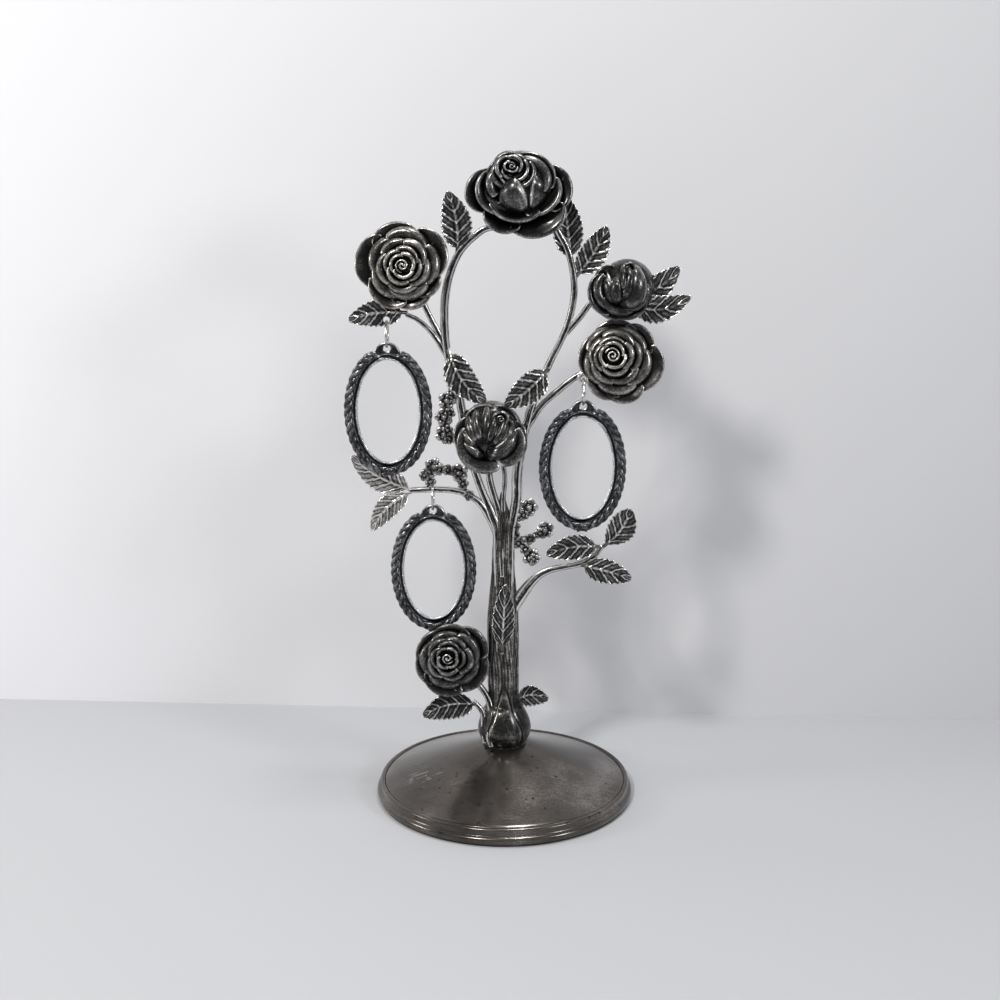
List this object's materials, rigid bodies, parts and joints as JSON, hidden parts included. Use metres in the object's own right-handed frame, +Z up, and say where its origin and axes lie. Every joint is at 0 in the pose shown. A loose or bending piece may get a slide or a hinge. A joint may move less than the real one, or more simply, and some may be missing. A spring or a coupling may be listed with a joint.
{
  "type": "photo tree stand",
  "caption": "Free-standing cast tree of roses and leaves on a round dished base, with small oval photo frames that hang from its branches on wire rings.",
  "frame": {"origin": "centre of the felt pad's lower face, where the stand rests on the table", "axes": "+Z up, along the tree's height; the front with the open roses and the frames' rope faces -Y; +X is the viewer's right"},
  "size_m": [0.1387, 0.1088, 0.2683],
  "materials": {
    "base_metal": "satin brown-grey metal, worn and lightly scratched, rim ridges rubbed bright",
    "felt": "short dark felt",
    "fixing_steel": "plain zinc-plated steel",
    "tree_pewter": "antique pewter wash on a casting, near black in the grooves, silver where rubbed",
    "rose_pewter": "dark antique pewter, glossy, silver along the petal lips",
    "leaf_pewter": "antique pewter, black between the veins, silver on veins and teeth",
    "spray_pewter": "antique pewter, silver on the round petals",
    "frame_pewter": "dark antique pewter, rope strands rubbed silver",
    "ring_nickel": "bright nickel-plated wire"
  },
  "bodies": {
    "stand": {"base_dish": "base_metal", "base_felt": "felt", "base_washer": "fixing_steel", "base_screw": "fixing_steel", "trunk": "tree_pewter", "trunk_leaf": "leaf_pewter", "left_limb": "tree_pewter", "right_limb": "tree_pewter", "right_rose_branch": "tree_pewter", "left_rose_stem": "tree_pewter", "left_leaf_stem": "tree_pewter", "right_bud_stem": "tree_pewter", "centre_stem": "tree_pewter", "centre_twig": "tree_pewter", "low_left_branch": "tree_pewter", "low_right_branch": "tree_pewter", "low_rose_stem": "tree_pewter", "root_stem": "tree_pewter", "top_rose": "rose_pewter", "left_rose": "rose_pewter", "right_rose": "rose_pewter", "right_eye_lug": "tree_pewter", "right_bud": "rose_pewter", "centre_rose": "rose_pewter", "low_rose": "rose_pewter", "top_left_leaf": "leaf_pewter", "top_right_leaf": "leaf_pewter", "upper_right_leaf": "leaf_pewter", "bud_leaf_upper": "leaf_pewter", "bud_leaf_lower": "leaf_pewter", "hanging_leaf": "leaf_pewter", "centre_left_leaf": "leaf_pewter", "centre_right_leaf": "leaf_pewter", "low_left_leaf_upper": "leaf_pewter", "low_left_leaf_lower": "leaf_pewter", "low_right_leaf_inner": "leaf_pewter", "low_right_leaf_upper": "leaf_pewter", "low_right_leaf_end": "leaf_pewter", "root_leaf_left": "leaf_pewter", "root_leaf_right": "leaf_pewter", "centre_spray": "spray_pewter", "low_left_spray": "spray_pewter", "right_spray": "spray_pewter"},
    "left_ring": {"left_ring": "ring_nickel"},
    "left_frame": {"left_frame": "frame_pewter"},
    "right_ring": {"right_ring": "ring_nickel"},
    "right_frame": {"right_frame": "frame_pewter"},
    "low_ring": {"low_ring": "ring_nickel"},
    "low_frame": {"low_frame": "frame_pewter"}
  },
  "joints": [
    {"name": "left_ring_swing", "type": "hinge", "parent": "stand", "child": "left_ring", "pos_m": [-0.0468, -0.0042, 0.20233], "axis": [0, 1, 0], "range_deg": [-7, 40]},
    {"name": "left_frame_tilt", "type": "hinge", "parent": "left_ring", "child": "left_frame", "pos_m": [-0.0468, -0.0042, 0.19718], "axis": [1, 0, 0], "range_deg": [-60, 1]},
    {"name": "right_ring_swing", "type": "hinge", "parent": "stand", "child": "right_ring", "pos_m": [0.0315, -0.0042, 0.17913], "axis": [0, 1, 0], "range_deg": [-18, 11]},
    {"name": "right_frame_tilt", "type": "hinge", "parent": "right_ring", "child": "right_frame", "pos_m": [0.0315, -0.0042, 0.17398], "axis": [1, 0, 0], "range_deg": [-60, 60]},
    {"name": "low_ring_swing", "type": "hinge", "parent": "stand", "child": "low_ring", "pos_m": [-0.0294, 0, 0.13498], "axis": [0, 1, 0], "range_deg": [-7, 15]},
    {"name": "low_frame_tilt", "type": "hinge", "parent": "low_ring", "child": "low_frame", "pos_m": [-0.0294, 0, 0.12983], "axis": [1, 0, 0], "range_deg": [-0.5, 60]}
  ]
}
